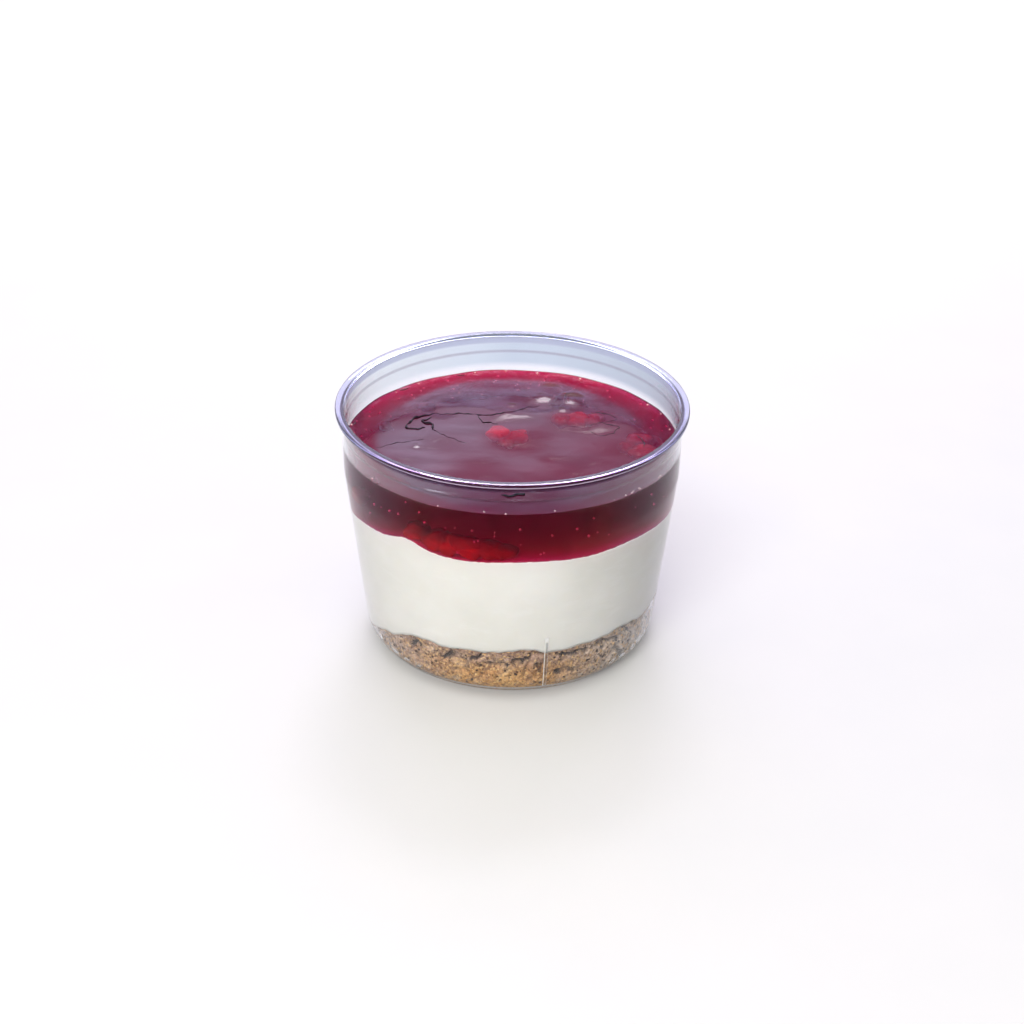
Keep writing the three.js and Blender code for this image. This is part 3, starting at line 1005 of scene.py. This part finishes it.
def keepUnderSkin(mesh):
    # nothing sunk in the jelly comes through its skin, its floor or the wall
    x, y, z = pointsOf(mesh).T
    limit = innerRadius(z) - berryRoom["insideWall"]
    shrink = np.minimum(1, limit / np.maximum(np.hypot(x, y), mm))
    x, y = x * shrink, y * shrink
    z = np.minimum(z, jellyTop(x, y) - berryRoom["underSkin"])
    z = np.maximum(z, creamTop(x, y) + berryRoom["overCream"])
    movePoints(mesh, x, y, z)


bubbles = {
    "onWall": 110,
    "wallSizes": (0.16, 0.34),  # radius in millimetres
    "wallHeights": (0.12, 0.9),  # share of the way up the jelly
    "froth": 26,
    "frothSizes": (0.14, 0.3),
    "frothInside": (0.4, 1.2),  # millimetres from the wall
    "seed": 23,
}

bubbleSizes = {"Swelling": 1.0}


def bubbleFinish():
    material, tree, place = newMaterial("paleBubble")
    spread = tree.noise(place, 900, 2, 0.5)
    base = tree.blend(spread, shade(236, 170, 176), shade(250, 214, 214))
    return finishMaterial(material, tree, tree.surface({"Base Color": base, "Roughness": 0.2}))


def makeBubbles():
    # small bubbles against the wall, and a few of froth along the waterline
    random = np.random.default_rng(bubbles["seed"])
    spots, sizes = [], []
    for _ in range(bubbles["onWall"]):
        angle, share = random.uniform(-math.pi, math.pi), random.uniform(*bubbles["wallHeights"])
        x, y = onCircle(39 * mm, angle)
        z = float(creamTop(x, y) * (1 - share) + jellyTop(x, y) * share)
        size = random.uniform(*bubbles["wallSizes"]) * mm
        spots.append((*onCircle(float(innerRadius(z)) - 1.1 * size, angle), z))
        sizes.append(size)
    for _ in range(bubbles["froth"]):
        angle = random.uniform(-math.pi, math.pi)
        inside = random.uniform(*bubbles["frothInside"]) * mm
        x, y = onCircle(float(innerRadius(layers["jellyLevel"])) - inside, angle)
        spots.append((x, y, float(jellyTop(x, y))))
        sizes.append(random.uniform(*bubbles["frothSizes"]) * mm)
    material = bubbleFinish()
    piece = newPiece("jelly_bubbles", spots, [], material)
    paintPoints(piece.data, "size", sizes)
    tree, given = newGeometryTree("smallBubbles", bubbleSizes)
    swollen = tree.carried("size") * given["Swelling"]
    endTree(tree, tree.atPoints(given["Geometry"], tree.ball(2), Scale=swollen), material)
    runTree(piece, tree, bubbleSizes)
    settle(piece, "jelly")


def skinFinish():
    material, tree, place = newMaterial("wrinkledSkin")
    patches = tree.noise(place, 500, 3, 0.6)
    skin = tree.surface({
        "Base Color": tree.blend(patches, shade(22, 4, 20), shade(48, 10, 38)),
        "Specular IOR Level": 0.15,
        "Roughness": tree.ramp(patches, (0.3, 0.25), (0.7, 0.5)),
    })
    return finishMaterial(material, tree, skin)


skinShape = {
    "step": 0.4 * mm,  # between the points of a line
    "strayAcross": 0.25 * mm,
    "strayBack": 0.35 * mm,
    "endLength": 0.3 * mm,  # a line thins out over its ends
    "thinnest": 0.04 * mm,
}

skinSizes = {"Sides": 6, "Raggedness": 0.22 * mm, "Swell": 900.0}


def makeSkinLines():
    # thin dark beads of wrinkled berry skin that lie along the jelly
    points, edges, thick = [], [], []
    for width, knots in skinLines:
        knots = np.array(knots) * mm
        steps = np.concatenate(([0], np.cumsum(np.hypot(*np.diff(knots, axis=0).T))))
        along = np.arange(0, steps[-1], skinShape["step"])
        x = np.interp(along, steps, knots[:, 0]) + skinShape["strayAcross"] * hills(along, 0, 0, 3 * mm, 51)
        y = np.interp(along, steps, knots[:, 1]) + skinShape["strayBack"] * hills(along, 0, 0, 2.4 * mm, 52)
        start = len(points)
        points += list(zip(x, y, jellyTop(x, y)))
        edges += [(start + k, start + k + 1) for k in range(len(along) - 1)]
        length = steps[-1] + 2 * skinShape["endLength"]
        ends = np.sin(math.pi * (along + skinShape["endLength"]) / length) ** 0.4
        thick += list(width * mm * ends * (0.75 + 0.4 * hills(along, 0, 0, 1.7 * mm, 53)))
    material = skinFinish()
    piece = newPiece("jelly_skin", points, [], material, edges)
    paintPoints(piece.data, "thick", np.clip(thick, skinShape["thinnest"], None))
    tree, given = newGeometryTree("skinBeads", skinSizes)
    line = tree.node("GeometryNodeMeshToCurve", {}, {"Mesh": given["Geometry"]})
    ring = tree.node("GeometryNodeCurvePrimitiveCircle", {}, {"Resolution": given["Sides"]}, "Curve")
    sweep = {"Curve": line, "Profile Curve": ring, "Scale": tree.carried("thick"), "Fill Caps": True}
    bead = tree.node("GeometryNodeCurveToMesh", {}, sweep)
    endTree(tree, tree.roughened(bead, given["Swell"], given["Raggedness"]), material)
    runTree(piece, tree, skinSizes)
    settle(piece, "jelly")


# The studio: a pale floor and soft lamps, one of which the jelly mirrors
studio = {
    "floorSize": 3.0,
    "floorDrop": 0.05 * mm,  # keeps it clear of the cup's underside
    "worldColour": (1.0, 0.99, 0.94, 1),
    "worldStrength": 0.6,
}

# name, place, aim, width and height in metres, brightness, colour
softLamps = [
    ("skyBehind", (0.0, 0.75, 0.47), (0, 0, 0.05), 0.9, 0.5, 2.5, (0.7, 0.6, 0.96)),
    ("glintBehind", (0.03, 0.64, 0.55), (0, 0, 0.05), 0.24, 0.12, 11, (0.97, 0.94, 1.0)),
    ("keyLeft", (-0.25, -0.68, 0.5), (0, 0, 0.03), 0.4, 0.4, 7.6, (1.0, 0.985, 0.95)),
]


def makeFloor():
    half = studio["floorSize"] / 2
    material, tree, place = newMaterial("paleFloor")
    speckle = tree.noise(place, 30, 3, 0.5)
    patches = tree.ramp(speckle, (0.3, 0), (0.7, 1))
    base = tree.blend(patches, (0.93, 0.93, 0.93, 1), (0.91, 0.915, 0.92, 1))
    finishMaterial(material, tree, tree.surface({"Base Color": base, "Roughness": 0.7}))
    corners = [(-half, -half), (half, -half), (half, half), (-half, half)]
    points = [(x, y, -studio["floorDrop"]) for x, y in corners]
    newPiece("floor", points, [(0, 1, 2, 3)], material)


def makeLamps():
    for name, spot, aim, width, height, brightness, colour in softLamps:
        light = bpy.data.lights.new(name, "AREA")
        light.shape = "RECTANGLE"
        light.size, light.size_y = width, height
        light.energy = brightness * math.pi * width * height
        light.color = colour
        lamp = bpy.data.objects.new(name, light)
        lamp.location = spot
        lamp.rotation_euler = (Vector(aim) - Vector(spot)).to_track_quat("-Z", "Y").to_euler()
        lamp.visible_camera = False
        bpy.context.collection.objects.link(lamp)
    world = bpy.data.worlds.new("softRoom")
    world.use_nodes = True
    background = world.node_tree.nodes["Background"]
    background.inputs["Color"].default_value = studio["worldColour"]
    background.inputs["Strength"].default_value = studio["worldStrength"]
    bpy.context.scene.world = world


# The camera of the photo, fitted to the cup's outline
view = {
    "elevation": 29.27,
    "distance": 447 * mm,
    "focalPixels": 1801.5,
    "roll": 0.7,
    "target": (0.21 * mm, 0, 31.46 * mm),
    "imageWidth": 1024,
    "sensor": 36,
}


def makeCamera():
    lens = bpy.data.cameras.new("photoCamera")
    lens.sensor_width = view["sensor"]
    lens.lens = view["focalPixels"] * view["sensor"] / view["imageWidth"]
    lens.clip_start = 1 * mm
    tilt, roll = math.radians(view["elevation"]), math.radians(view["roll"])
    forward = Vector((0, math.cos(tilt), -math.sin(tilt)))
    level = Vector((1, 0, 0))
    upward = level.cross(forward)
    right = level * math.cos(roll) + upward * math.sin(roll)
    up = upward * math.cos(roll) - level * math.sin(roll)
    spot = Vector(view["target"]) - forward * view["distance"]
    camera = bpy.data.objects.new("photoCamera", lens)
    camera.matrix_world = Matrix.Translation(spot) @ Matrix((right, up, -forward)).transposed().to_4x4()
    bpy.context.collection.objects.link(camera)
    bpy.context.scene.camera = camera


makeCamera()
makeLamps()
makeFloor()
makeCup()
makeBiscuit()
makeCream()
makeJelly()
makeBerries()
makeBubbles()
makeSkinLines()
bpy.context.scene.view_settings.view_transform = "Standard"
